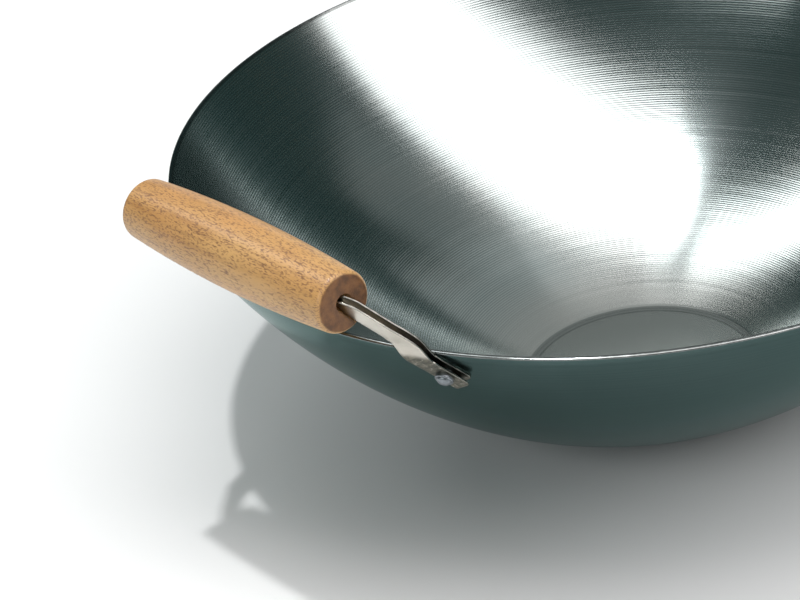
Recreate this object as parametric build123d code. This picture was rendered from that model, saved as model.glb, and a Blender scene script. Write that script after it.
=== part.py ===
from build123d import *
import os
from math import asin, atan2, cos, radians, sin, sqrt, tan

# A flat-bottomed carbon steel wok with two loop handles.
# Origin: centre of the flat base, on the surface that the wok stands on.
# +Z is up, and the handles lie along X. Millimetres and degrees.

# Bowl, spun from one sheet
rim_radius = 178.0          # outer edge of the rim
bowl_depth = 113.0          # underside of the base to the outer edge of the rim
base_radius = 48.0          # flat face that rests on the stove
wall_bend_radius = 250.0    # curve of the outer wall from base to rim
sheet = 1.7                 # thickness of the bowl's steel
knuckle_radius = 14.0       # soft corner between base and wall, outside
rim_edge_radius = 0.35      # broken corners of the cut rim

# Grip, turned from wood, one in each handle
grip_standoff = 7.9         # rim's edge to grip axis, outward
grip_rise = 25.8            # rim to grip axis
grip_length = 115.0
grip_middle_radius = 14.0
grip_end_radius = 11.6      # where the rounded ends start
grip_edge_radius = 2.2      # rounded end corners
bore_diameter = 6.5         # hole along the grip
mouth_width = 6.4           # slot at each end, where the bracket bends out of the bore
mouth_clearance = 0.5       # slot floor to the bracket

# Bracket, a steel strip folded lengthwise into a narrow channel
strip_sheet = 0.7
channel_gap = 1.9           # between the two layers of the fold
leg_depth = 9.0             # fold to open edge, on the legs
tab_depth = 9.9             # fold to open edge, on the flattened tabs
tongue_depth = 5.0          # fold to open edge, inside the bore
bend_radius = 5.6           # centre line, where a leg turns into the grip
bend_steps = 7              # sections through that turn
corner_inset = 1.2          # end face of the grip to the turn's corner
leg_roll = 21.0             # degrees that a leg is rolled out of the loop's plane
knee_azimuth = 23.2         # degrees from the handle's middle to a leg's foot at the rim
knee_standoff = 3.1         # rim's edge to the middle of the channel
knee_rise = 2.8             # above the rim
knee_run = 6.0              # length of leg over which it bends toward the tab
tab_lean = 35.5             # degrees from straight down the wall, away from the handle's middle
tab_above_rivet = 12.9      # rivet to the tab's bend
tab_below_rivet = 8.2       # rivet to the tab's end
tab_corner_radius = 2.2     # rounded corners of the tab's end

# Rivets, one through each tab
rivet_azimuth = 25.0        # degrees from the handle's middle, about the wok axis
rivet_below_rim = 11.2      # along the outer wall
shank_diameter = 4.0
rivet_hole_clearance = 0.1  # radial
head_diameter = 7.0
head_skirt_height = 1.5
head_edge_bevel = 0.3
crown_diameter = 5.4        # domed top inside the head's crease
crown_height = 1.5
inner_head_diameter = 8.4
inner_head_edge = 0.4
inner_head_height = 1.5

overrun = 2.0               # how far a cutter passes the faces it cuts

# Worked out from the sizes above
channel_thickness = 2 * strip_sheet + channel_gap
bore_radius = bore_diameter / 2
grip_half = grip_length / 2
grip_reach = rim_radius + grip_standoff
grip_height = bowl_depth + grip_rise

# The wall's meridian is one arc through the base edge and the rim
chord_r = rim_radius - base_radius
chord = sqrt(chord_r**2 + bowl_depth**2)
arc_rise = sqrt(wall_bend_radius**2 - (chord / 2) ** 2)
wall_centre_r = (rim_radius + base_radius) / 2 - arc_rise * bowl_depth / chord
wall_centre_z = bowl_depth / 2 + arc_rise * chord_r / chord
rim_angle = asin((wall_centre_z - bowl_depth) / wall_bend_radius)


def wall_point(bend_radius_here, angle):
    """Point of the meridian plane on a wall arc, at an angle below the horizontal."""
    return (
        wall_centre_r + bend_radius_here * cos(angle),
        wall_centre_z - bend_radius_here * sin(angle),
    )


def make_bowl():
    """Base disc, knuckle, curved wall and cut rim, turned about Z as one sheet."""
    inner_bend = wall_bend_radius - sheet
    inner_base_angle = asin((wall_centre_z - sheet) / inner_bend)
    base_angle = asin(wall_centre_z / wall_bend_radius)
    outer_mid = wall_point(wall_bend_radius, (base_angle + rim_angle) / 2)
    inner_mid = wall_point(inner_bend, (inner_base_angle + rim_angle) / 2)
    inner_rim = wall_point(inner_bend, rim_angle)
    inner_base = wall_point(inner_bend, inner_base_angle)
    outline = (
        Line((0, 0), (base_radius, 0))
        + ThreePointArc((base_radius, 0), outer_mid, (rim_radius, bowl_depth))
        + Line((rim_radius, bowl_depth), inner_rim)
        + ThreePointArc(inner_rim, inner_mid, inner_base)
        + Line(inner_base, (0, sheet))
        + Line((0, sheet), (0, 0))
    )
    section = Plane.XZ * make_face(outline)

    def corner_at(radius, height):
        spot = Vector(radius, 0, height)
        return [section.vertices().sort_by_distance(spot)[0]]

    section = fillet(corner_at(base_radius, 0), knuckle_radius)
    section = fillet(corner_at(*inner_base), knuckle_radius - sheet)
    section = fillet(corner_at(rim_radius, bowl_depth), rim_edge_radius)
    section = fillet(corner_at(*inner_rim), rim_edge_radius)
    return revolve(section, Axis.Z).solid()


# Frame of one rivet, on the +Y side of the +X handle
def rivet_frame():
    """Point on the outer wall at the rivet, with the wall's normal, uphill and sideways directions."""
    azimuth = radians(rivet_azimuth)
    angle = rim_angle + rivet_below_rim / wall_bend_radius
    radius, height = wall_point(wall_bend_radius, angle)
    outward = cos(angle)
    upward = -sin(angle)
    spot = Vector(radius * cos(azimuth), radius * sin(azimuth), height)
    normal = Vector(outward * cos(azimuth), outward * sin(azimuth), upward)
    uphill = Vector(-upward * cos(azimuth), -upward * sin(azimuth), outward)
    sideways = Vector(-sin(azimuth), cos(azimuth), 0)
    return spot, normal, uphill, sideways


rivet_spot, wall_normal, wall_uphill, wall_sideways = rivet_frame()
tab_direction = wall_uphill * cos(radians(tab_lean)) - wall_sideways * sin(radians(tab_lean))
tab_open_side = wall_sideways * cos(radians(tab_lean)) + wall_uphill * sin(radians(tab_lean))

# A straight tab pressed on the curved wall beds in over its length by this much
tab_sink = tab_below_rivet**2 / (2 * wall_bend_radius)
tab_middle = rivet_spot + wall_normal * (channel_thickness / 2 - tab_sink)
tab_start = tab_middle + tab_direction * tab_above_rivet
tab_end = tab_middle - tab_direction * tab_below_rivet

# Foot of a leg, just outside the rim, where it bends into the tab
knee_radius = rim_radius + knee_standoff
knee = Vector(
    knee_radius * cos(radians(knee_azimuth)),
    knee_radius * sin(radians(knee_azimuth)),
    bowl_depth + knee_rise,
)

# The loop's plane holds the grip axis and the knees
grip_corner_y = grip_half - corner_inset
to_wok = Vector(knee.X - grip_reach, 0, knee.Z - grip_height)
leg_drop = to_wok.length
to_wok = to_wok.normalized()
leg_splay = atan2(knee.Y - grip_corner_y, leg_drop)
turn = radians(90) - leg_splay
turn_run = bend_radius * tan(turn / 2)


def loop_point(along_grip, toward_wok):
    """Point of the loop's plane, from the middle of the grip axis."""
    return Vector(grip_reach, along_grip, grip_height) + to_wok * toward_wok


def channel_section(middle, direction, open_side, depth):
    """Folded strip cut square to its run: two layers, a round fold, and an open edge."""
    half = depth / 2
    outer = channel_thickness / 2
    inner = channel_gap / 2
    fold_start = outer - half
    gap_start = strip_sheet + inner - half
    outline = (
        Line((half, outer), (fold_start, outer))
        + ThreePointArc((fold_start, outer), (-half, 0), (fold_start, -outer))
        + Line((fold_start, -outer), (half, -outer))
        + Line((half, -outer), (half, -inner))
        + Line((half, -inner), (gap_start, -inner))
        + ThreePointArc((gap_start, -inner), (gap_start - inner, 0), (gap_start, inner))
        + Line((gap_start, inner), (half, inner))
        + Line((half, inner), (half, outer))
    )
    return Plane(middle, x_dir=open_side, z_dir=direction) * make_face(outline)


def rolled(direction, open_side, angle):
    """The open side turned about the strip's run."""
    across = direction.cross(open_side)
    return open_side * cos(radians(angle)) + across * sin(radians(angle))


def rim_section(middle, direction, open_side, depth):
    """The strip cut along the rim, as at a bend that lies parallel to it."""
    run_share = wall_sideways.dot(direction)
    side_share = wall_sideways.dot(open_side)
    skew = atan2(run_share, side_share)
    along_rim = open_side * cos(skew) + direction * sin(skew)
    across_rim = direction * cos(skew) - open_side * sin(skew)
    return channel_section(middle, across_rim, along_rim, depth / cos(skew))


def run_at(angle):
    """Direction of the strip toward the grip's middle, at an angle from straight off the wok."""
    return to_wok * -cos(angle) + Vector(0, -sin(angle), 0)


def open_side_at(angle):
    """Direction from the fold to the open edge of the strip there, in the loop's plane."""
    return to_wok * -sin(angle) + Vector(0, cos(angle), 0)


def make_bracket(bowl):
    """One folded strip: tab, leg, turn and tongue, lofted on one side and mirrored."""
    leg_run = run_at(leg_splay)
    leg_side = open_side_at(leg_splay)
    leg_top = loop_point(grip_corner_y, 0) - leg_run * turn_run
    rolled_side = rolled(leg_run, leg_side, leg_roll)
    sections = [
        channel_section(tab_end, tab_direction, tab_open_side, tab_depth),
        rim_section(tab_start, tab_direction, tab_open_side, tab_depth),
        rim_section(knee + leg_run * knee_run, leg_run, rolled_side, leg_depth),
        channel_section(leg_top, leg_run, rolled_side, leg_depth),
    ]
    bend_middle = loop_point(grip_corner_y - turn_run, bend_radius)
    for step in range(1, bend_steps + 1):
        share = step / bend_steps
        angle = leg_splay + turn * share
        depth = leg_depth + (tongue_depth - leg_depth) * share
        middle = bend_middle + open_side_at(angle) * bend_radius
        side = rolled(run_at(angle), open_side_at(angle), leg_roll * (1 - share))
        sections.append(channel_section(middle, run_at(angle), side, depth))
    along_grip = radians(90)
    sections.append(
        channel_section(loop_point(0, 0), run_at(along_grip), open_side_at(along_grip), tongue_depth)
    )
    half = loft(sections, ruled=True)
    bracket = half + mirror(half, about=Plane.XZ)
    return bracket - bowl


def rivet_plane(spot=rivet_spot, normal=wall_normal, side=wall_sideways):
    """Plane on the outer wall at the rivet, facing away from the wok."""
    return Plane(spot, x_dir=side, z_dir=normal)


def rivet_hole():
    """Hole for one shank, through the wall and both layers of the tab."""
    reach = channel_thickness + sheet + overrun
    hole = Cylinder(shank_diameter / 2 + rivet_hole_clearance, 2 * reach)
    return rivet_plane() * hole


def tab_corner_cutters():
    """What the two rounded corners of a tab's end take away."""
    radius = tab_corner_radius
    height = 2 * (channel_thickness + overrun)
    corner = Box(radius + overrun, radius + overrun, height, align=(Align.MIN, Align.MAX, Align.CENTER))
    corner = Pos(-overrun, overrun, 0) * corner
    corner = corner - Pos(radius, -radius, 0) * Cylinder(radius, 2 * height)
    cutters = []
    for side in (-1, 1):
        spot = tab_end + tab_open_side * (side * tab_depth / 2)
        across = tab_direction.cross(tab_open_side) * side
        cutters.append(Plane(spot, x_dir=tab_direction, z_dir=across) * corner)
    return cutters


def make_rivet(bowl):
    """Shank with a creased dome outside and a low dome inside, upset against the wall."""
    shank = shank_diameter / 2
    head = head_diameter / 2
    crown = crown_diameter / 2
    inner = inner_head_diameter / 2
    face = channel_thickness - tab_sink
    skirt_top = face + head_skirt_height
    crown_top = skirt_top + crown_height
    bedded = -sheet / 2
    inner_edge = -sheet - inner_head_edge
    inner_top = -sheet - inner_head_height
    bevel = head_edge_bevel
    outline = (
        Line((0, inner_top), (0, crown_top))
        + TangentArc((0, crown_top), (crown, skirt_top), tangent=(1, 0))
        + Line((crown, skirt_top), (head - bevel, skirt_top))
        + Line((head - bevel, skirt_top), (head, skirt_top - bevel))
        + Line((head, skirt_top - bevel), (head, face))
        + Line((head, face), (shank, face))
        + Line((shank, face), (shank, bedded))
        + Line((shank, bedded), (inner, bedded))
        + Line((inner, bedded), (inner, inner_edge))
        + TangentArc((0, inner_top), (inner, inner_edge), tangent=(1, 0))
    )
    profile = Plane.XZ * make_face(outline)
    return rivet_plane() * revolve(profile, Axis.Z) - bowl


def make_grip():
    """Barrel-shaped turning with a bore, and a slot at each end where the bracket bends out."""
    end = grip_half
    outline = (
        Line((0, -end), (0, end))
        + Line((0, end), (grip_end_radius, end))
        + ThreePointArc((grip_end_radius, end), (grip_middle_radius, 0), (grip_end_radius, -end))
        + Line((grip_end_radius, -end), (0, -end))
    )
    section = make_face(outline)
    rim_corners = section.vertices().group_by(Axis.X)[-1]
    section = fillet(rim_corners, grip_edge_radius)
    barrel = revolve(section, Axis.Y)
    barrel = barrel - Rot(90, 0, 0) * Cylinder(bore_radius, grip_length + overrun)
    grip = Pos(grip_reach, 0, grip_height) * barrel
    return grip - grip_mouth() - mirror(grip_mouth(), about=Plane.XZ)


def grip_mouth():
    """Slot at the +Y end, open toward the wok, with its floor parallel to the leg."""
    floor_at_axis = grip_corner_y - leg_depth / 2 / cos(leg_splay) - mouth_clearance
    reach = grip_middle_radius + overrun
    outside = grip_half + reach
    points = [
        (outside, 0),
        (floor_at_axis, 0),
        (floor_at_axis + reach * tan(leg_splay), reach),
        (outside, reach),
    ]
    across = Vector(0, 1, 0).cross(to_wok)
    face = Plane(loop_point(0, 0), x_dir=Vector(0, 1, 0), z_dir=across) * make_face(
        Polyline(*points, close=True)
    )
    return extrude(face, mouth_width / 2, both=True)


def both_legs(*tools):
    """Tools on the +Y leg and their mirror images on the other leg."""
    return [*tools, *(mirror(tool, about=Plane.XZ) for tool in tools)]


def both_handles(tools):
    """The same tools at the +X handle and, turned about the wok's axis, at the -X handle."""
    return tools + [tool.rotate(Axis.Z, 180) for tool in tools]


plain_bowl = make_bowl()
holes = both_legs(rivet_hole())
wok_bowl = plain_bowl - both_handles(holes)
bracket = make_bracket(plain_bowl) - holes - both_legs(*tab_corner_cutters())
grip = make_grip()
rivets = both_legs(make_rivet(wok_bowl))

nodes = {"wok_bowl": wok_bowl}
for side, angle in (("right", 0), ("left", 180)):
    nodes[f"{side}_grip"] = grip.rotate(Axis.Z, angle)
    nodes[f"{side}_bracket"] = bracket.rotate(Axis.Z, angle)
    for place, rivet in zip(("first", "second"), rivets):
        nodes[f"{side}_{place}_rivet"] = rivet.rotate(Axis.Z, angle)

os.makedirs("parts", exist_ok=True)
for name, shape in nodes.items():
    shape.label = name
    export_step(shape, f"parts/{name}.step")
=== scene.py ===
"""A flat-bottomed carbon steel wok with two wooden loop handles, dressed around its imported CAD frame.

Shapes are worked out in millimetres, in the frame of the CAD part: Z is the bowl's axis, the floor is
at Z 0, and the handles lie along X. They become metres when they are put into a mesh.
"""

import math

import bpy
import numpy as np
from mathutils import Matrix


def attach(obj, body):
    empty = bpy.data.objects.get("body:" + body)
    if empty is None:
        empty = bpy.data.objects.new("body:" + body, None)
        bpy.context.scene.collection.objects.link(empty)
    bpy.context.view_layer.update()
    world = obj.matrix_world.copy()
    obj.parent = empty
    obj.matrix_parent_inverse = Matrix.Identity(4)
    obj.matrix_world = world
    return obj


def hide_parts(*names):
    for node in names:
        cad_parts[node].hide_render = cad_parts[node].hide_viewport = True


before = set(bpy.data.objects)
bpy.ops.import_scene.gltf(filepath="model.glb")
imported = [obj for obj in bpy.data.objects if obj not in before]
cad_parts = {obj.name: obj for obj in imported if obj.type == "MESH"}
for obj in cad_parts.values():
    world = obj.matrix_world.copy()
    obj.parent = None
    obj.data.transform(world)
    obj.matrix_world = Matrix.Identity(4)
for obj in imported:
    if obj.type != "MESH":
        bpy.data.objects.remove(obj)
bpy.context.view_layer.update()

MM = 0.001

# Bowl
rim_radius = 178.0
bowl_depth = 113.0
base_radius = 48.0
wall_bend_radius = 250.0
sheet = 1.7
knuckle_radius = 14.0
rim_edge_radius = 0.35

# Grip
grip_standoff = 7.9
grip_rise = 25.8
grip_length = 115.0
grip_middle_radius = 14.0
grip_end_radius = 11.6
grip_edge_radius = 2.2
bore_radius = 3.25
mouth_half_width = 3.2
mouth_clearance = 0.5
lip_radius = 0.5

# Bracket
strip_sheet = 0.7
channel_gap = 1.9
leg_depth = 9.0
tab_depth = 9.9
tongue_depth = 5.0
bend_radius = 5.6
corner_inset = 1.2
leg_roll = 21.0
knee_azimuth = 23.2
knee_standoff = 3.1
knee_rise = 2.8
knee_run = 6.0
tab_lean = 35.5
tab_above_rivet = 12.9
tab_below_rivet = 8.2
tab_corner_radius = 2.2
strip_edge_radius = 0.16

# Finish of the bowl's inside
tool_line_pitch = 0.95

# Rivets
rivet_azimuth = 25.0
rivet_below_rim = 11.2
shank_radius = 2.0
head_radius = 3.5
head_skirt_height = 1.5
crown_radius = 2.7
crown_height = 1.5
inner_head_radius = 4.2
inner_head_edge = 0.4
inner_head_height = 1.5

# The wall's meridian is one arc through the base edge and the rim
chord_r = rim_radius - base_radius
chord = math.hypot(chord_r, bowl_depth)
arc_rise = math.sqrt(wall_bend_radius**2 - (chord / 2) ** 2)
wall_centre_r = (rim_radius + base_radius) / 2 - arc_rise * bowl_depth / chord
wall_centre_z = bowl_depth / 2 + arc_rise * chord_r / chord
rim_angle = math.asin((wall_centre_z - bowl_depth) / wall_bend_radius)
knuckle_z = knuckle_radius
knuckle_reach = math.sqrt((wall_bend_radius - knuckle_radius) ** 2 - (wall_centre_z - knuckle_z) ** 2)
knuckle_r = wall_centre_r + knuckle_reach
knuckle_angle = math.atan2(wall_centre_z - knuckle_z, knuckle_reach)

grip_reach = rim_radius + grip_standoff
grip_height = bowl_depth + grip_rise
grip_half = grip_length / 2
channel_thickness = 2 * strip_sheet + channel_gap


# Meshes


def put_mesh(name, points, quads, tris=None, face_slots=None):
    """A shaded-smooth object from whole arrays: points in millimetres, and faces as rows of indices."""
    tris = np.zeros((0, 3), int) if tris is None else np.asarray(tris)
    quads = np.asarray(quads)
    corners = np.concatenate([quads.ravel(), tris.ravel()]).astype(np.int32)
    quad_starts = 4 * np.arange(len(quads))
    tri_starts = 4 * len(quads) + 3 * np.arange(len(tris))
    mesh = bpy.data.meshes.new(name)
    mesh.vertices.add(len(points))
    mesh.vertices.foreach_set("co", (np.asarray(points) * MM).astype(np.float32).ravel())
    mesh.loops.add(len(corners))
    mesh.loops.foreach_set("vertex_index", corners)
    mesh.polygons.add(len(quads) + len(tris))
    mesh.polygons.foreach_set("loop_start", np.concatenate([quad_starts, tri_starts]).astype(np.int32))
    mesh.update(calc_edges=True)
    mesh.validate()
    if face_slots is not None:
        mesh.polygons.foreach_set("material_index", np.asarray(face_slots, np.int32))
    mesh.shade_smooth()
    piece = bpy.data.objects.new(name, mesh)
    bpy.context.scene.collection.objects.link(piece)
    return piece


def tube_quads(rows, columns, wrap_rows=False):
    """Quads between neighbouring rows of a grid whose columns close into a ring."""
    count = rows if wrap_rows else rows - 1
    row = np.arange(count)[:, None]
    column = np.arange(columns)[None, :]
    below, above = row * columns, ((row + 1) % rows) * columns
    right = (column + 1) % columns
    return np.stack([below + column, below + right, above + right, above + column], -1).reshape(-1, 4)


def turned(profile, segments):
    """Points (r cos t, r sin t, z) of a profile of (r, z) rows turned about Z, with both ends on the axis."""
    angle = np.arange(segments) * (2 * math.pi / segments)
    ring = np.stack([np.cos(angle), np.sin(angle)], -1)
    body = profile[1:-1]
    points = np.concatenate(
        [
            body[:, None, :1] * ring[None, :, :],
            np.broadcast_to(body[:, None, 1:], (len(body), segments, 1)),
        ],
        -1,
    ).reshape(-1, 3)
    poles = np.array([[0, 0, profile[0, 1]], [0, 0, profile[-1, 1]]])
    quads = tube_quads(len(body), segments)
    first, last = len(points), len(points) + 1
    column = np.arange(segments)
    following = (column + 1) % segments
    top = (len(body) - 1) * segments
    fans = np.concatenate(
        [
            np.stack([np.full(segments, first), following, column], -1),
            np.stack([top + column, top + following, np.full(segments, last)], -1),
        ]
    )
    return np.concatenate([points, poles]), quads, fans


def arc(centre, radius, start, end, count):
    """Points of the meridian plane on a circle, at angles below the horizontal."""
    angle = np.linspace(start, end, count)
    return np.stack([centre[0] + radius * np.cos(angle), centre[1] - radius * np.sin(angle)], -1)


def straight(start, end, count):
    """Points on a line, evenly spaced."""
    share = np.linspace(0, 1, count)[:, None]
    return np.asarray(start, float) * (1 - share) + np.asarray(end, float) * share


def unit(vector):
    """The vector divided by its length."""
    return vector / np.linalg.norm(vector)


# Bowl

ring_segments = 256
outer_base_rows = 12
outer_knuckle_rows = 8
outer_wall_rows = 60
edge_round_rows = 5
inner_wall_rows = 176
inner_knuckle_rows = 30
inner_base_rows = 20
ripple_height = 0.004
ripple_pitch = 6.8
short_ripple_pitch = 4.3
short_ripple_share = 0.6
short_ripple_shift = 1.3
ripple_fade_at_rim = 12.0
ripple_fade_at_knuckle = 10.0
base_ring_radii = (45.3, 47.6)
base_ring_depths = (0.1, 0.06)
base_ring_width = 0.75


def bowl_profile():
    """Outside from the axis to the rim, round the cut edge, and inside back to the axis, as (r, z) rows.

    The wall is one arc, the knuckle is an arc that touches it and the flat base, and the inside is the
    same line one sheet further in, with the faint waves that a spinning tool leaves.
    """
    wall_centre = (wall_centre_r, wall_centre_z)
    knuckle_centre = (knuckle_r, knuckle_z)
    down = math.pi / 2
    outer_end = rim_angle + rim_edge_radius / wall_bend_radius
    outside = np.concatenate(
        [
            straight((0, 0), (knuckle_r, 0), outer_base_rows)[:-1],
            arc(knuckle_centre, knuckle_radius, down, knuckle_angle, outer_knuckle_rows)[:-1],
            arc(wall_centre, wall_bend_radius, knuckle_angle, outer_end, outer_wall_rows),
        ]
    )
    up = np.array([math.sin(rim_angle), math.cos(rim_angle)])
    out = np.array([math.cos(rim_angle), -math.sin(rim_angle)])
    outer_corner = np.array([rim_radius, bowl_depth])
    inner_corner = outer_corner - out * sheet
    turn = np.linspace(0, math.pi / 2, edge_round_rows)[1:, None]
    outer_round = outer_corner - (up + out) * rim_edge_radius
    inner_round = inner_corner - (up - out) * rim_edge_radius
    edge = np.concatenate(
        [
            outer_round + rim_edge_radius * (out * np.cos(turn) + up * np.sin(turn)),
            inner_round + rim_edge_radius * (up * np.cos(turn) - out * np.sin(turn)),
        ]
    )
    inner_bend = wall_bend_radius - sheet
    angle = np.linspace(rim_angle + rim_edge_radius / inner_bend, knuckle_angle, inner_wall_rows)[1:]
    along = (angle - rim_angle) * inner_bend
    fade_in = np.clip(along / ripple_fade_at_rim, 0, 1)
    fade_out = np.clip((along[-1] - along) / ripple_fade_at_knuckle, 0, 1)
    long_wave = np.sin(2 * math.pi * along / ripple_pitch)
    short_wave = np.sin(2 * math.pi * along / short_ripple_pitch + short_ripple_shift)
    wave = long_wave + short_ripple_share * short_wave
    radius = inner_bend + ripple_height * (fade_in * fade_out) * wave
    inner_wall = np.stack(
        [wall_centre_r + radius * np.cos(angle), wall_centre_z - radius * np.sin(angle)], -1
    )
    inner_knuckle = arc(knuckle_centre, knuckle_radius - sheet, knuckle_angle, down, inner_knuckle_rows)[1:]
    inner_floor = straight((knuckle_r, sheet), (0, sheet), inner_base_rows)[1:]
    inside = np.concatenate([inner_wall, inner_knuckle, inner_floor])
    for ring_radius, ring_depth in zip(base_ring_radii, base_ring_depths):
        inside[:, 1] -= ring_depth * np.exp(-(((inside[:, 0] - ring_radius) / base_ring_width) ** 2))
    return np.concatenate([outside, edge, inside]), len(outside), len(edge)


def make_bowl():
    """The profile turned about Z, with its faces in rows from the first off the axis.

    Material slots: 0 the outside, 1 the cut edge, 2 the inside.
    """
    profile, outside_rows, edge_rows = bowl_profile()
    points, quads, fans = turned(profile, ring_segments)
    # The body has two rows fewer than the profile, and row i of its faces ends at the profile's row i + 2
    row = np.repeat(np.arange(len(profile) - 3), ring_segments)
    slots = np.where(row < outside_rows - 2, 0, np.where(row < outside_rows + edge_rows - 1, 1, 2))
    slots = np.concatenate([slots, np.zeros(ring_segments), np.full(ring_segments, 2)])
    return put_mesh("spun_bowl", points, quads, fans, slots)


# Handles, from the loop's own plane

rivet_turn = math.radians(rivet_azimuth)
rivet_slope = rim_angle + rivet_below_rim / wall_bend_radius
rivet_r = wall_centre_r + wall_bend_radius * math.cos(rivet_slope)
rivet_z = wall_centre_z - wall_bend_radius * math.sin(rivet_slope)
rivet_out = np.array([math.cos(rivet_turn), math.sin(rivet_turn), 0])
straight_up = np.array([0.0, 0.0, 1.0])
rivet_spot = rivet_out * rivet_r + straight_up * rivet_z
wall_normal = rivet_out * math.cos(rivet_slope) - straight_up * math.sin(rivet_slope)
wall_uphill = rivet_out * math.sin(rivet_slope) + straight_up * math.cos(rivet_slope)
wall_sideways = np.array([-math.sin(rivet_turn), math.cos(rivet_turn), 0])

lean = math.radians(tab_lean)
tab_direction = wall_uphill * math.cos(lean) - wall_sideways * math.sin(lean)
tab_open_side = wall_sideways * math.cos(lean) + wall_uphill * math.sin(lean)
tab_sink = tab_below_rivet**2 / (2 * wall_bend_radius)
tab_middle = rivet_spot + wall_normal * (channel_thickness / 2 - tab_sink)

knee_reach = rim_radius + knee_standoff
knee_turn = math.radians(knee_azimuth)
knee = np.array([knee_reach * math.cos(knee_turn), knee_reach * math.sin(knee_turn), bowl_depth + knee_rise])
grip_middle = np.array([grip_reach, 0, grip_height])
grip_corner_y = grip_half - corner_inset
along_grip = np.array([0.0, 1.0, 0.0])
to_wok = np.array([knee[0] - grip_reach, 0, knee[2] - grip_height])
leg_drop = np.linalg.norm(to_wok)
to_wok = unit(to_wok)
loop_normal = np.cross(along_grip, to_wok)
leg_splay = math.atan2(knee[1] - grip_corner_y, leg_drop)
turn_angle = math.pi / 2 - leg_splay
turn_run = bend_radius * math.tan(turn_angle / 2)


# Grips

# Across the slot, from its middle to where the end face is flat again
slot_columns = np.array([0.0, 1.0, 2.0, 2.7, 3.05, 3.17, 3.2, 3.24, 3.3, 3.4, 3.53, 3.7])
round_columns = 84
slot_slack = 0.001
slot_squeeze = 1.04
bore_rows = 22
bore_dense_run = 34.0
bore_crowding = 1.6
mouth_rows = 6
end_face_rows = 12
corner_rows = 12
barrel_rows = 44


def barrel_profile():
    """Half of the grip's profile: (r, y) rows from the bore's middle, out of its mouth, to the barrel's own.

    The barrel is an arc through both end radii and the middle radius, the ends are flat, and the
    corners and the mouth are rounded by arcs that touch their neighbours.
    """
    sag = grip_middle_radius - grip_end_radius
    barrel_bend = (grip_half**2 + sag**2) / (2 * sag)
    barrel_centre = grip_middle_radius - barrel_bend
    round_y = grip_half - grip_edge_radius
    round_r = barrel_centre + math.sqrt((barrel_bend - grip_edge_radius) ** 2 - round_y**2)
    touch = math.atan2(round_y, round_r - barrel_centre)
    mouth = np.linspace(0, math.pi / 2, mouth_rows)[1:]
    corner = np.linspace(math.pi / 2, touch, corner_rows)
    barrel = np.linspace(touch, 0, barrel_rows)[1:]
    bore = grip_half - lip_radius - bore_dense_run * np.linspace(1, 0, bore_rows) ** bore_crowding
    end_face = np.linspace(bore_radius + lip_radius, round_r, end_face_rows)[1:-1]
    mouth_r = bore_radius + lip_radius * (1 - np.cos(mouth))
    mouth_y = grip_half - lip_radius * (1 - np.sin(mouth))
    corner_r = round_r + grip_edge_radius * np.cos(corner)
    corner_y = round_y + grip_edge_radius * np.sin(corner)
    return np.concatenate(
        [
            [[bore_radius, 0.0]],
            np.stack([0 * bore + bore_radius, bore], -1),
            np.stack([mouth_r, mouth_y], -1),
            np.stack([end_face, 0 * end_face + grip_half], -1),
            np.stack([corner_r, corner_y], -1),
            np.stack([barrel_centre + barrel_bend * np.cos(barrel), barrel_bend * np.sin(barrel)], -1),
        ]
    )


def grip_points():
    """The grip as a closed ring of profile rows, turned about its axis, with a slot at each end.

    The columns that meet the slot keep a fixed distance from its middle plane, so its walls are
    straight, and inside it a point's place along the axis is held at or below the slanted floor.
    """
    half = barrel_profile()
    mirrored = half[-2:0:-1] * np.array([1, -1])
    profile = np.concatenate([half, mirrored])
    radius, along = profile[:, :1], profile[:, 1:]
    widest = slot_columns[-1]
    squeeze = np.minimum(1, radius / (widest * slot_squeeze))
    near = np.arcsin(slot_columns[None, :] * squeeze / radius)
    share = np.linspace(0, 1, round_columns + 2)[None, 1:-1]
    far = near[:, -1:] + (2 * math.pi - 2 * near[:, -1:]) * share
    angle = np.concatenate([near, far, -near[:, :0:-1]], 1)
    across_slot = np.concatenate([slot_columns, np.full(round_columns, widest), slot_columns[:0:-1]])[None, :]
    toward = radius * np.cos(angle)
    floor_at_axis = grip_corner_y - leg_depth / 2 / math.cos(leg_splay) - mouth_clearance
    floor = floor_at_axis + toward * math.tan(leg_splay)
    reach = np.abs(along) + 0 * angle
    in_slot = across_slot < mouth_half_width + slot_slack
    lip = np.clip((widest - across_slot) / lip_radius, 0, 1)
    drop = lip_radius * (1 - np.sqrt(1 - lip**2))
    on_face = (reach > floor) & (across_slot < widest)
    rounded = np.where(on_face, np.maximum(reach - drop, floor), reach)
    reach = np.where(in_slot, np.minimum(reach, floor), rounded)
    around = radius * np.sin(angle)
    offset = along_grip * (np.sign(along) * reach)[..., None]
    return grip_middle + offset + to_wok * toward[..., None] + loop_normal * around[..., None]


def make_grip(name, side):
    """One grip; side is 1 at +X and -1 at -X, where both X and Y change sign."""
    points = grip_points()
    rows, columns = points.shape[:2]
    quads = tube_quads(rows, columns, wrap_rows=True)
    return put_mesh(name, points.reshape(-1, 3) * np.array([side, side, 1]), quads)


# Brackets

# Stations between the marks from the tab's end to the grip, then round the bend and along the tongue
leg_stations = (34, 14, 16, 16, 26)
bend_stations = 16
tongue_stations = 14
tab_bend_run = 6.0
leg_ease_run = 7.0
easing_passes = 5
flat_points = 12
fold_points = 13
cut_edge_turns = (0.3, 0.7, 1.0)


def run_at(angle):
    """Direction of the strip toward the grip's middle, at an angle from straight off the wok."""
    return -math.cos(angle) * to_wok - math.sin(angle) * along_grip


def open_side_at(angle):
    """Direction from the fold to the open edge there, in the loop's plane."""
    return -math.sin(angle) * to_wok + math.cos(angle) * along_grip


def rolled(direction, open_side, degrees):
    """The open side turned about the strip's run."""
    angle = math.radians(degrees)
    return open_side * math.cos(angle) + np.cross(direction, open_side) * math.sin(angle)


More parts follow.
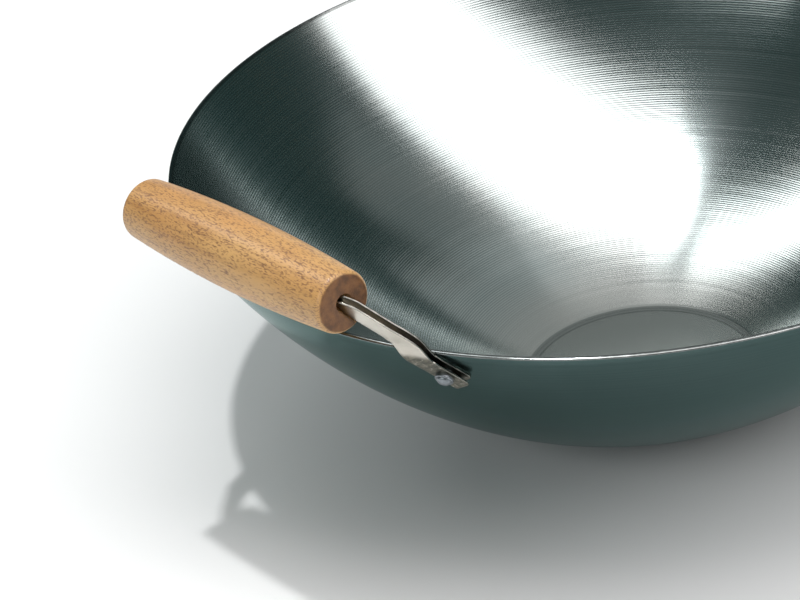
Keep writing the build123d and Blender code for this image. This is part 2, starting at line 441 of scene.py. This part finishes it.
def station(middle, direction, open_side, depth):
    """One place on the strip: its middle, open side, normal and depth as ten numbers."""
    return np.concatenate([middle, open_side, np.cross(direction, open_side), [depth]])


def rim_station(middle, direction, open_side, depth):
    """The same for a cut along the rim, as at a bend that lies parallel to it."""
    skew = math.atan2(wall_sideways @ direction, wall_sideways @ open_side)
    along_rim = open_side * math.cos(skew) + direction * math.sin(skew)
    across_rim = direction * math.cos(skew) - open_side * math.sin(skew)
    return station(middle, across_rim, along_rim, depth / math.cos(skew))


def strip_stations():
    """Stations from the tab's end to the middle of the grip, dense where the strip bends."""
    leg_run = run_at(leg_splay)
    rolled_side = rolled(leg_run, open_side_at(leg_splay), leg_roll)
    leg_top = grip_middle + along_grip * grip_corner_y - leg_run * turn_run
    tab_end = tab_middle - tab_direction * tab_below_rivet
    tab_top = tab_middle + tab_direction * tab_above_rivet
    leg_foot = knee + leg_run * knee_run
    marks = [
        station(tab_end, tab_direction, tab_open_side, tab_depth),
        station(tab_top - tab_direction * tab_bend_run, tab_direction, tab_open_side, tab_depth),
        rim_station(tab_top, tab_direction, tab_open_side, tab_depth),
        rim_station(leg_foot, leg_run, rolled_side, leg_depth),
        station(leg_foot + leg_run * leg_ease_run, leg_run, rolled_side, leg_depth),
        station(leg_top, leg_run, rolled_side, leg_depth),
    ]
    runs = [straight(a, b, count)[:-1] for a, b, count in zip(marks[:-1], marks[1:], leg_stations)]
    bend_middle = grip_middle + along_grip * (grip_corner_y - turn_run) + to_wok * bend_radius
    bend = []
    for share in np.linspace(0, 1, bend_stations):
        angle = leg_splay + turn_angle * share
        side = rolled(run_at(angle), open_side_at(angle), leg_roll * (1 - share))
        depth = leg_depth + (tongue_depth - leg_depth) * share
        bend.append(station(bend_middle + open_side_at(angle) * bend_radius, run_at(angle), side, depth))
    level = math.pi / 2
    last = station(grip_middle, run_at(level), open_side_at(level), tongue_depth)
    tongue = straight(bend[-1], last, tongue_stations)[1:]
    return np.concatenate([*runs, bend, tongue])


def eased(stations):
    """The stations with their creases rounded, each averaged with its neighbours but for both ends."""
    smooth = stations.copy()
    for _ in range(easing_passes):
        smooth[1:-1] = smooth[1:-1] / 2 + (smooth[:-2] + smooth[2:]) / 4
    return smooth


def sheet_side(offset, cut):
    """One face of the folded sheet, from open edge round the fold to open edge.

    Its rows are (share of the depth, millimetres added to that, place across the strip).
    """
    flat = np.linspace(0, 1, flat_points)[:, None]
    turn = np.linspace(math.pi / 2, -math.pi / 2, fold_points)[1:-1, None]
    fold = channel_thickness / 2
    first = np.concatenate([0.5 - flat, flat * fold - cut * (1 - flat), 0 * flat + offset], 1)
    middle = np.concatenate([0 * turn - 0.5, fold - offset * np.cos(turn), offset * np.sin(turn)], 1)
    last = first[::-1] * np.array([1, 1, -1])
    return np.concatenate([first, middle, last])


def bracket_points():
    """Folded strip: the sheet's two faces, joined round its cut edges, run along the stations and mirrored.

    The tab's corners are rounded by holding each row of points inside a circle of the corner's radius.
    """
    half = eased(strip_stations())
    other = half[-2::-1].copy()
    # The Y of the middle, the open side and the normal
    other[:, [1, 4, 7]] *= -1
    stations = np.concatenate([half, other])
    middle, side, normal, depth = stations[:, :3], stations[:, 3:6], stations[:, 6:9], stations[:, 9:]
    side = side / np.linalg.norm(side, axis=1, keepdims=True)
    normal = normal / np.linalg.norm(normal, axis=1, keepdims=True)
    outer_offset = channel_thickness / 2
    inner_offset = channel_gap / 2
    radius = strip_edge_radius
    outer = sheet_side(outer_offset, radius)
    inner = sheet_side(inner_offset, radius)[::-1]
    turn = np.array(cut_edge_turns)[:, None] * math.pi / 2
    open_share = 0 * turn + 0.5
    outer_corner = np.concatenate(
        [open_share, radius * (np.sin(turn) - 1), outer_offset - radius * (1 - np.cos(turn))], 1
    )
    inner_corner = np.concatenate(
        [open_share, radius * (np.sin(turn) - 1), inner_offset + radius * (1 - np.cos(turn))], 1
    )
    start_edge = np.concatenate([inner_corner, outer_corner[::-1]])
    end_edge = start_edge[::-1] * np.array([1, 1, -1])
    outline = np.concatenate([outer, end_edge, inner, start_edge])
    share, shift, across = outline[:, 0], outline[:, 1], outline[:, 2]
    along_depth = share[None, :] * depth + shift[None, :]
    from_end = np.linalg.norm(middle - middle[0], axis=1)
    from_end = np.minimum(from_end, from_end[::-1])[:, None]
    lack = np.clip(tab_corner_radius - from_end, 0, tab_corner_radius)
    inset = tab_corner_radius - np.sqrt(tab_corner_radius**2 - lack**2)
    limit = depth / 2 - inset
    along_depth = np.clip(along_depth, -limit, limit)
    points = (
        middle[:, None, :]
        + side[:, None, :] * along_depth[..., None]
        + normal[:, None, :] * across[None, :, None]
    )
    return points, len(outer), len(end_edge)


def make_bracket(name, side):
    """One bracket; its two ends are closed by quads from the outer face to the inner one.

    Material slots: 0 the plated faces, 1 the cut edges and ends.
    """
    points, face_count, edge_count = bracket_points()
    rows, columns = points.shape[:2]
    quads = tube_quads(rows, columns)
    outer = np.arange(face_count)
    inner = face_count + edge_count + outer[::-1]
    cap = np.stack([outer[:-1], inner[:-1], inner[1:], outer[1:]], -1)
    edge = np.arange(edge_count)
    second_edge = 2 * face_count + edge_count - 1
    first_round = np.concatenate([[face_count - 1], face_count + edge, [face_count + edge_count]])
    second_round = np.concatenate([[second_edge], second_edge + 1 + edge, [0]])
    fans = np.concatenate(
        [
            np.stack([np.full(edge_count, corner[0]), corner[2:], corner[1:-1]], -1)
            for corner in (first_round, second_round)
        ]
    )
    shift = (rows - 1) * columns
    quads = np.concatenate([quads, cap, cap[:, ::-1] + shift])
    tris = np.concatenate([fans, fans[:, ::-1] + shift])
    column = np.tile(np.arange(columns), rows - 1)
    on_cut = ((column >= face_count - 1) & (column < face_count + edge_count)) | (column >= second_edge)
    slots = np.concatenate([on_cut, np.ones(2 * len(cap) + len(tris), bool)])
    return put_mesh(name, points.reshape(-1, 3) * np.array([side, side, 1]), quads, tris, slots)


# Rivets

rivet_segments = 72
dome_rows = 14
skirt_round_rows = 7
side_rows = 5
inner_side_rows = 4
skirt_edge_radius = 0.45
inner_skirt = 0.2
head_seat = 0.1
crown_squareness = 0.9
crown_flatness = 1.15
# The pressed crease: out from the crown's edge and down from the skirt's top
crease_line = np.array([[0.28, 0.02], [0.168, 0.084], [0.07, 0.14], [0.05, 0.098]])


def rivet_profile():
    """From the inner head's top down the shank to the outer dome, as (r, z) rows along the wall's normal.

    Both heads are low domes, height * sin of an angle over radius * cos of it. The outer one stands on a
    skirt with a rounded edge, and a pressed crease runs round its crown.
    """
    face = channel_thickness - tab_sink
    skirt_top = face + head_skirt_height
    rise = np.linspace(0, math.pi / 2, dome_rows)
    inner_dome = np.stack(
        [
            inner_head_radius * np.sin(rise),
            -sheet - inner_head_edge - (inner_head_height - inner_head_edge) * np.cos(rise),
        ],
        -1,
    )
    crown_out = crown_radius * np.cos(rise) ** crown_squareness
    crown_up = skirt_top + crown_height * np.sin(rise) ** crown_flatness
    crown = np.stack([crown_out, crown_up], -1)
    crown[-1, 0] = 0
    soft = skirt_edge_radius
    turn = np.linspace(0, math.pi / 2, skirt_round_rows)
    skirt = np.stack([head_radius - soft * (1 - np.cos(turn)), skirt_top - soft * (1 - np.sin(turn))], -1)
    crease = np.array([crown_radius, skirt_top]) + crease_line * np.array([1, -1])
    seat = face - head_seat
    middle = -sheet / 2
    return np.concatenate(
        [
            inner_dome,
            straight((inner_head_radius, -sheet - inner_skirt), (inner_head_radius, middle), inner_side_rows),
            straight((shank_radius, middle), (shank_radius, seat), side_rows),
            straight((head_radius, seat), (head_radius, skirt_top - soft), side_rows)[:-1],
            skirt,
            crease,
            crown,
        ]
    )


def make_rivet(name, side, leg):
    """One rivet stood on the wall; leg is 1 for the +Y leg of the +X handle and -1 for the other."""
    points, quads, fans = turned(rivet_profile(), rivet_segments)
    placed = (
        rivet_spot
        + points[:, :1] * wall_sideways
        + points[:, 1:2] * wall_uphill
        + points[:, 2:] * wall_normal
    )
    if leg < 0:
        placed = placed * np.array([1, -1, 1])
        quads, fans = quads[:, ::-1], fans[:, ::-1]
    return put_mesh(name, placed * np.array([side, side, 1]), quads, fans)


# Shader wiring


class Wire:
    """A shader socket. Arithmetic on wires and numbers adds Math nodes."""

    def __init__(self, paint, socket):
        self.paint = paint
        self.socket = socket

    def math(self, operation, *others):
        """A Math node over this value and the others."""
        return self.paint.node("ShaderNodeMath", {"operation": operation}, [self, *others])

    def __add__(self, other):
        return self.math("ADD", other)

    def __radd__(self, other):
        return self.math("ADD", other)

    def __sub__(self, other):
        return self.math("SUBTRACT", other)

    def __rsub__(self, other):
        return self.paint.node("ShaderNodeMath", {"operation": "SUBTRACT"}, [other, self])

    def __mul__(self, other):
        return self.math("MULTIPLY", other)

    def __pow__(self, other):
        return self.math("POWER", other)

    def __abs__(self):
        return self.math("ABSOLUTE")

    def step(self, low, high):
        """0 below low, 1 above high and a smooth rise between them."""
        inputs = {"Value": self, "From Min": low, "From Max": high}
        return self.paint.node("ShaderNodeMapRange", {"interpolation_type": "SMOOTHSTEP"}, inputs)

    def out(self, name):
        """Another output of the same node."""
        return Wire(self.paint, self.socket.node.outputs[name])


class Paint:
    """One node material under construction."""

    def __init__(self, name):
        self.material = bpy.data.materials.new(name)
        self.material.use_nodes = True
        self.tree = self.material.node_tree
        self.tree.nodes.clear()
        self.place = self.node("ShaderNodeTexCoord").out("Object")

    def feed(self, socket, value):
        """Links a wire to a socket, or sets a number or colour on it."""
        if isinstance(value, Wire):
            self.tree.links.new(value.socket, socket)
        elif isinstance(value, (tuple, list)) and socket.type == "RGBA" and len(value) == 3:
            socket.default_value = (*value, 1)
        else:
            socket.default_value = value

    def node(self, kind, settings=None, inputs=None):
        """Adds a node with its settings and inputs, and gives its first output in use.

        Inputs come by name, or as a list for the ones in use, in their order.
        """
        made = self.tree.nodes.new(kind)
        for key, value in (settings or {}).items():
            setattr(made, key, value)
        if isinstance(inputs, list):
            in_use = [socket for socket in made.inputs if socket.enabled]
            pairs = zip(in_use, inputs)
        else:
            pairs = ((made.inputs[key], value) for key, value in (inputs or {}).items())
        for socket, value in pairs:
            self.feed(socket, value)
        return Wire(self, next(socket for socket in made.outputs if socket.enabled))

    def noise(self, vector, scale=1.0, detail=2, roughness=0.5, distortion=0.0):
        """Cloudy noise in all three directions, 0 to 1."""
        inputs = {"Vector": vector, "Scale": scale, "Detail": detail}
        inputs |= {"Roughness": roughness, "Distortion": distortion}
        return self.node("ShaderNodeTexNoise", {}, inputs)

    def line_noise(self, along, detail=2, roughness=0.5):
        """Noise that changes along one value alone."""
        inputs = {"W": along, "Scale": 1.0, "Detail": detail, "Roughness": roughness}
        return self.node("ShaderNodeTexNoise", {"noise_dimensions": "1D"}, inputs)

    def stretched(self, x, y, z):
        """The piece's own coordinates with each axis scaled."""
        return self.node("ShaderNodeMapping", {}, {"Vector": self.place, "Scale": (x, y, z)})

    def axes(self):
        """The piece's own X, Y and Z, in metres."""
        split = self.node("ShaderNodeSeparateXYZ", {}, [self.place])
        return split.out("X"), split.out("Y"), split.out("Z")

    def mix(self, factor, first, second):
        """The first colour at factor 0, the second at 1 and a blend between them."""
        settings = {"data_type": "RGBA", "clamp_factor": True}
        return self.node("ShaderNodeMix", settings, [factor, first, second])

    def ramp(self, value, stops):
        """A colour for each value, eased between stops of (value, colour)."""
        made = self.node("ShaderNodeValToRGB", {}, [value])
        ramp = made.socket.node.color_ramp
        ramp.interpolation = "EASE"
        while len(ramp.elements) < len(stops):
            ramp.elements.new(0.5)
        for element, (position, colour) in zip(ramp.elements, stops):
            element.position = position
            element.color = (*colour, 1)
        return made

    def bump(self, height, distance, strength):
        """A normal tilted by the height's slope; distance is the metres that a height of 1 stands for."""
        return self.node("ShaderNodeBump", {}, {"Height": height, "Distance": distance, "Strength": strength})

    def from_base(self):
        """Distance from the axis, and from the middle of the base, both in millimetres."""
        x, y, z = self.axes()
        radius = (x * x + y * y) ** 0.5
        return radius * (1 / MM), (radius * radius + z * z) ** 0.5 * (1 / MM)

    def surface(self, **inputs):
        """A Principled shader with its inputs, wired to the output."""
        shader = self.tree.nodes.new("ShaderNodeBsdfPrincipled")
        for key, value in inputs.items():
            self.feed(shader.inputs[key.replace("_", " ")], value)
        output = self.tree.nodes.new("ShaderNodeOutputMaterial")
        self.tree.links.new(shader.outputs["BSDF"], output.inputs["Surface"])
        return self.material


# Materials

# Millimetres from the axis between which the tool lines come in, outside the smooth base
line_start, line_full = 50, 82
# Middle and fade of the painted shade along the pressed ring, in millimetres from the axis
base_ring_middle = 46.4
base_ring_fade = (1.5, 2.3)
# Heights in metres: the tabs are all scratched and darkened by painted shade below the first, and all bright
# above the second
scratch_and_shade_below = 0.1115
bright_above = 0.1145
# Millimetres in from the grip's end between which its end grain gives way to the side
end_grain_edge = 0.1
end_grain_depth = 0.6


def bowl_inside():
    """Spun carbon steel, satin, with highlights stretched round the axis.

    Sine lines of the tool's pitch, drifting a little, lie over finer and broader bands of noise. They fade
    toward the base, where the tone is warmer and a pressed ring runs round, its crease darkened by
    painted shade.
    """
    paint = Paint("spun_steel_inside")
    groove_tone, ridge_tone = (0.29, 0.335, 0.33), (0.45, 0.495, 0.49)
    warm_tone, crease_shade_tone = (0.52, 0.51, 0.485), (0.08, 0.1, 0.1)
    radius, along = paint.from_base()
    on_wall = radius.step(line_start, line_full)
    off_wall = 1 - on_wall
    drift = paint.noise(paint.place, scale=9, detail=2) - 0.5
    turns = along * (2 * math.pi / tool_line_pitch)
    lines = (turns + drift * 0.5).math("SINE") * 0.5 * (on_wall * 0.85 + 0.15) + 0.5
    fine = paint.line_noise(along * 0.55, detail=2, roughness=0.5)
    broad = paint.line_noise(along * 0.16, detail=2, roughness=0.5)
    cloud = paint.noise(paint.place, scale=14, detail=4, roughness=0.55)
    shade = fine * 0.2 + broad * 0.2 + lines * 0.6
    tone = paint.ramp(shade, [(0.2, groove_tone), (0.8, ridge_tone)])
    tone = paint.mix(cloud.step(0.45, 0.75) * 0.3 + off_wall * 0.65, tone, warm_tone)
    # Painted shade: the colour darkened along the pressed ring's crease
    ring = 1 - abs(radius - base_ring_middle).step(*base_ring_fade)
    height = lines * 0.55 + fine * (on_wall * 0.3 + 0.1)
    return paint.surface(
        Base_Color=paint.mix(ring * 0.5, tone, crease_shade_tone),
        Metallic=1.0,
        Roughness=0.14 + fine * 0.03 + cloud * 0.035 + off_wall * 0.04,
        Anisotropic=0.35,
        Anisotropic_Rotation=0.25,
        Normal=paint.bump(height, distance=0.000026, strength=0.7),
    )


def bowl_outside():
    """The same steel outside, greener and darkened by painted shade, with faint bands round the axis under a
    slow cloud.
    """
    paint = Paint("spun_steel_outside")
    # Painted shade: these tones and the edge tint darken this steel far below the inside's
    dark_tone, pale_tone = (0.043, 0.076, 0.074), (0.075, 0.112, 0.11)
    edge_tint = (0.73, 0.865, 0.85)
    radius, along = paint.from_base()
    fine = paint.line_noise(along * 1.3, detail=2, roughness=0.5)
    cloud = paint.noise(paint.place, scale=11, detail=4, roughness=0.55)
    return paint.surface(
        Base_Color=paint.ramp(fine * 0.4 + cloud * 0.6, [(0.3, dark_tone), (0.75, pale_tone)]),
        Metallic=1.0,
        Roughness=0.17 + cloud * 0.08,
        Specular_Tint=edge_tint,
        Anisotropic=0.4,
        Anisotropic_Rotation=0.25,
        Normal=paint.bump(fine, distance=0.000008, strength=0.5),
    )


def rim_edge():
    """The bowl's cut edge: bare, smooth and patchy."""
    paint = Paint("cut_rim_steel")
    dull_tone, bare_tone = (0.13, 0.14, 0.138), (0.24, 0.254, 0.25)
    speck = paint.noise(paint.place, scale=420, detail=3, roughness=0.6)
    patch = paint.noise(paint.place, scale=16, detail=2, roughness=0.5)
    return paint.surface(
        Base_Color=paint.ramp(speck * 0.4 + patch * 0.6, [(0.36, dull_tone), (0.64, bare_tone)]),
        Metallic=1.0,
        Roughness=0.13 + speck * 0.08,
        Normal=paint.bump(speck, distance=0.000012, strength=0.3),
    )


def grip_wood():
    """Light open-pored wood under thin varnish.

    Noise stretched along Y gives the grain, the tints and, at a fine scale, the short dark pores, flecks
    and streaks, which are sunk a little. The end faces show darker end grain.
    """
    paint = Paint("turned_grip_wood")
    grain_tones = [(0.25, (0.37, 0.18, 0.055)), (0.5, (0.5, 0.275, 0.095)), (0.75, (0.6, 0.36, 0.14))]
    end_tones = [(0.3, (0.085, 0.032, 0.008)), (0.7, (0.19, 0.078, 0.02))]
    red_tone, pale_tone, pore_tone = (0.52, 0.25, 0.09), (0.63, 0.4, 0.165), (0.17, 0.075, 0.035)
    grain = paint.noise(paint.stretched(95, 7, 95), detail=5, roughness=0.6, distortion=0.6)
    tint = paint.noise(paint.stretched(26, 9, 26), detail=3, distortion=0.3)
    blush = paint.noise(paint.stretched(40, 16, 40), distortion=0.2)
    pores = paint.noise(paint.stretched(2000, 620, 2000), detail=1, roughness=0.4)
    flecks = paint.noise(paint.stretched(1500, 330, 1500), detail=1, roughness=0.4)
    streaks = paint.noise(paint.stretched(820, 14, 820))
    density = paint.noise(paint.stretched(60, 25, 60))
    end_grain = paint.noise(paint.stretched(260, 260, 260), detail=4, roughness=0.6)
    tone = paint.ramp(grain, grain_tones)
    tone = paint.mix(blush.step(0.5, 0.72) * 0.3, tone, red_tone)
    tone = paint.mix(tint.step(0.48, 0.7) * 0.4, tone, pale_tone)
    pore = pores.step(0.52, 0.64) * density.step(0.25, 0.5)
    fleck = flecks.step(0.6, 0.68)
    streak = streaks.step(0.52, 0.68) * density.step(0.3, 0.6)
    dark = (pore * 0.6 + fleck * 0.55 + streak * 0.3).math("MINIMUM", 0.85)
    tone = paint.mix(dark, tone, pore_tone)
    _, y, _ = paint.axes()
    at_end = abs(y).step((grip_half - end_grain_depth) * MM, (grip_half - end_grain_edge) * MM)
    height = 1 - pore * 0.6 - fleck * 0.5 + grain * 0.25
    return paint.surface(
        Base_Color=paint.mix(at_end, tone, paint.ramp(end_grain, end_tones)),
        Roughness=0.42 + grain * 0.12 + at_end * 0.15,
        Coat_Weight=0.25,
        Coat_Roughness=0.24,
        Normal=paint.bump(height, distance=0.00012, strength=0.5),
    )


def bracket_steel():
    """Plated strip: bright, warm and scuffed along its run; the tabs below the rim are scratched and darkened
    by painted shade.
    """
    paint = Paint("plated_strip_steel")
    plated_tones = [(0.3, (0.52, 0.485, 0.42)), (0.7, (0.7, 0.665, 0.6))]
    # Real scratches under painted shade: the tabs' dark tones below the rim
    scratch_and_shade_tones = [(0.35, (0.085, 0.085, 0.068)), (0.58, (0.2, 0.19, 0.15)), (0.7, (0.5, 0.47, 0.4))]
    scuff = paint.noise(paint.stretched(300, 90, 300), detail=4, roughness=0.6)
    patch = paint.noise(paint.place, scale=70, detail=3)
    scratch = paint.noise(paint.stretched(900, 260, 500), detail=3, roughness=0.65, distortion=0.8)
    _, _, z = paint.axes()
    # Painted shade and scratches together, below the rim only
    scratch_and_shade = 1 - z.step(scratch_and_shade_below, bright_above)
    bright = paint.ramp(patch * 0.6 + scuff * 0.4, plated_tones)
    return paint.surface(
        Base_Color=paint.mix(scratch_and_shade, bright, paint.ramp(scratch, scratch_and_shade_tones)),
        Metallic=1.0,
        Roughness=0.24 + scuff * 0.12,
        Normal=paint.bump(scuff + scratch * scratch_and_shade, distance=0.00004, strength=0.4),
    )


def cut_strip_edge():
    """The strip's sheared edges: steel without plating, darkened further by painted shade."""
    paint = Paint("cut_strip_steel")
    # Painted shade: these tones sit well below bare steel's own, for the edges' dark lines
    sheared_tones = [(0.35, (0.14, 0.14, 0.127)), (0.65, (0.31, 0.305, 0.275))]
    speck = paint.noise(paint.place, scale=240, detail=3, roughness=0.6)
    return paint.surface(
        Base_Color=paint.ramp(speck, sheared_tones),
        Metallic=1.0,
        Roughness=0.2 + speck * 0.1,
    )


def rivet_metal():
    """Satin grey rivet, finely speckled."""
    paint = Paint("rivet_aluminium")
    rivet_tones = [(0.3, (0.17, 0.19, 0.205)), (0.7, (0.25, 0.272, 0.29))]
    speck = paint.noise(paint.place, scale=900, detail=3, roughness=0.6)
    return paint.surface(
        Base_Color=paint.ramp(speck, rivet_tones),
        Metallic=1.0,
        Roughness=0.3 + speck * 0.08,
        Normal=paint.bump(speck, distance=0.00001, strength=0.3),
    )


# The pieces, and the nodes that they stand for


def dress(piece, materials, node):
    """Gives a piece its materials, in the order of its slots, puts it under the root body, and hides the node
    that it stands for.
    """
    for material in materials:
        piece.data.materials.append(material)
    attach(piece, "root")
    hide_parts(node)


dress(make_bowl(), [bowl_outside(), rim_edge(), bowl_inside()], "wok_bowl")
wood = grip_wood()
plated = bracket_steel()
sheared = cut_strip_edge()
rivet_finish = rivet_metal()
for hand, side in (("right", 1), ("left", -1)):
    dress(make_grip(f"{hand}_turned_grip", side), [wood], f"{hand}_grip")
    dress(make_bracket(f"{hand}_folded_bracket", side), [plated, sheared], f"{hand}_bracket")
    for place, leg in (("first", 1), ("second", -1)):
        rivet = make_rivet(f"{hand}_{place}_domed_rivet", side, leg)
        dress(rivet, [rivet_finish], f"{hand}_{place}_rivet")


# Floor, light and camera, with lengths in metres

floor_half = 6.0
floor_tone = (0.86, 0.87, 0.87)
floor_roughness = 0.9
room_tone = (0.5, 1.0, 0.95)
room_strength = 0.062
lamp_aim = np.array([0, 0, 0.07])
white = (1.0, 1.0, 1.0)
slanting = np.array([-0.505, 0.703, 0.498])

# Name, direction as azimuth and elevation, distance, size across and up, power. A slanting lamp adds the
# direction of its height, its colour and its slide along its height.
lamps = [
    # Small and almost overhead: the sharp shadow
    ("key", (150, 80), 1.8, (0.07, 0.07), 13.5),
    # Dim and white behind, mirrored by the flat base
    ("back_wall", (30, 56), 2.5, (2.2, 2.0), 5),
    # The soft lower end of the white in the bowl
    ("overhead", (-18, 73), 2.5, (1.0, 0.9), 1.1),
    # From the near left, too low for the visible inside to mirror
    ("front_fill", (-168, 27), 2.5, (1.6, 1.2), 15.5),
    # Mirrored by the near rim
    ("rim_light", (106, 53), 2.5, (0.5, 1.75), 14.0),
    # Low and behind, along the grip's upper edge
    ("low_strip", (50, 11), 3.0, (1.3, 0.4), 3.0),
    # The long white panel that the bowl and the bracket's edges mirror
    ("long_softbox", (-74.0, 59.4), 3.0, (1.87, 5.3), 111, slanting, (1.0, 0.95, 0.95), -0.35),
    # Mirrored as the grey beside the white
    ("side_wall", (-22, 47), 2.5, (0.9, 1.3), 0.65),
]


def make_floor():
    """A wide pale floor that takes the shadow."""
    corner = floor_half / MM
    points = [(-corner, -corner, 0), (corner, -corner, 0), (corner, corner, 0), (-corner, corner, 0)]
    floor = put_mesh("studio_floor", points, [[0, 1, 2, 3]])
    paint = Paint("pale_studio_floor")
    floor.data.materials.append(paint.surface(Base_Color=floor_tone, Roughness=floor_roughness))


def make_world():
    """A dim, slightly cool room, the same from every side."""
    world = bpy.data.worlds.new("studio_world")
    bpy.context.scene.world = world
    world.use_nodes = True
    room = world.node_tree.nodes["Background"]
    room.inputs["Color"].default_value = (*room_tone, 1)
    room.inputs["Strength"].default_value = room_strength


def from_angles(azimuth, elevation):
    """Unit vector of a direction given in degrees."""
    turn, rise = math.radians(azimuth), math.radians(elevation)
    return np.array([math.cos(turn) * math.cos(rise), math.sin(turn) * math.cos(rise), math.sin(rise)])


def add_lamp(name, direction, distance, size, power, long_way=straight_up, colour=white, slide=0.0):
    """A rectangular lamp that faces the bowl from a direction, with its height along long_way."""
    back = from_angles(*direction)
    upper = unit(long_way - back * (long_way @ back))
    light = bpy.data.lights.new(name, "AREA")
    light.shape = "RECTANGLE"
    light.size, light.size_y = size
    light.energy = power
    light.color = colour
    lamp = bpy.data.objects.new(name, light)
    bpy.context.scene.collection.objects.link(lamp)
    matrix = np.eye(4)
    matrix[:3, 0], matrix[:3, 1], matrix[:3, 2] = np.cross(upper, back), upper, back
    matrix[:3, 3] = lamp_aim + back * distance + upper * slide
    lamp.matrix_world = Matrix(matrix.tolist())


# The photograph's camera: where it stands, seen from the rim's centre, in degrees and metres, and its picture
# in pixels
view_azimuth = -131.29
view_elevation = 27.11
view_distance = 1.41993
view_roll = -5.744
rim_centre_pixel = (619.6, 123.57)
focal_pixels = 3625.6
picture = (800, 600)
sensor_width = 36.0
clip_end = 100


def make_camera():
    """The photograph's camera, aimed at the rim's centre and rolled, then turned to put that on its pixel.

    The turn is the shortest one that carries the picture's middle ray to the pixel's ray.
    """
    back = from_angles(view_azimuth, view_elevation)
    ahead = -back
    right = unit(np.cross(ahead, straight_up))
    down = np.cross(ahead, right)
    aimed = np.stack([right, down, ahead])
    roll = math.radians(view_roll)
    cosine, sine = math.cos(roll), math.sin(roll)
    rolled_view = np.array([[cosine, -sine, 0], [sine, cosine, 0], [0, 0, 1]]) @ aimed
    from_middle = (np.array(rim_centre_pixel) - np.array(picture) / 2) / focal_pixels
    ray = unit(np.array([*from_middle, 1.0]))
    axis = np.cross([0, 0, 1.0], ray)
    skew = np.array([[0, -axis[2], axis[1]], [axis[2], 0, -axis[0]], [-axis[1], axis[0], 0]])
    swing = np.eye(3) + skew + skew @ skew / (1 + ray[2])
    view = swing @ rolled_view
    place = np.array([0, 0, bowl_depth * MM]) + back * view_distance
    camera = bpy.data.cameras.new("photo_camera")
    camera.sensor_fit = "HORIZONTAL"
    camera.sensor_width = sensor_width
    camera.lens = focal_pixels * sensor_width / picture[0]
    camera.clip_end = clip_end
    holder = bpy.data.objects.new("photo_camera", camera)
    bpy.context.scene.collection.objects.link(holder)
    matrix = np.eye(4)
    matrix[:3, 0], matrix[:3, 1], matrix[:3, 2], matrix[:3, 3] = view[0], -view[1], -view[2], place
    holder.matrix_world = Matrix(matrix.tolist())
    bpy.context.scene.camera = holder


make_floor()
make_world()
for lamp in lamps:
    add_lamp(*lamp)
make_camera()
bpy.context.scene.view_settings.view_transform = "Standard"
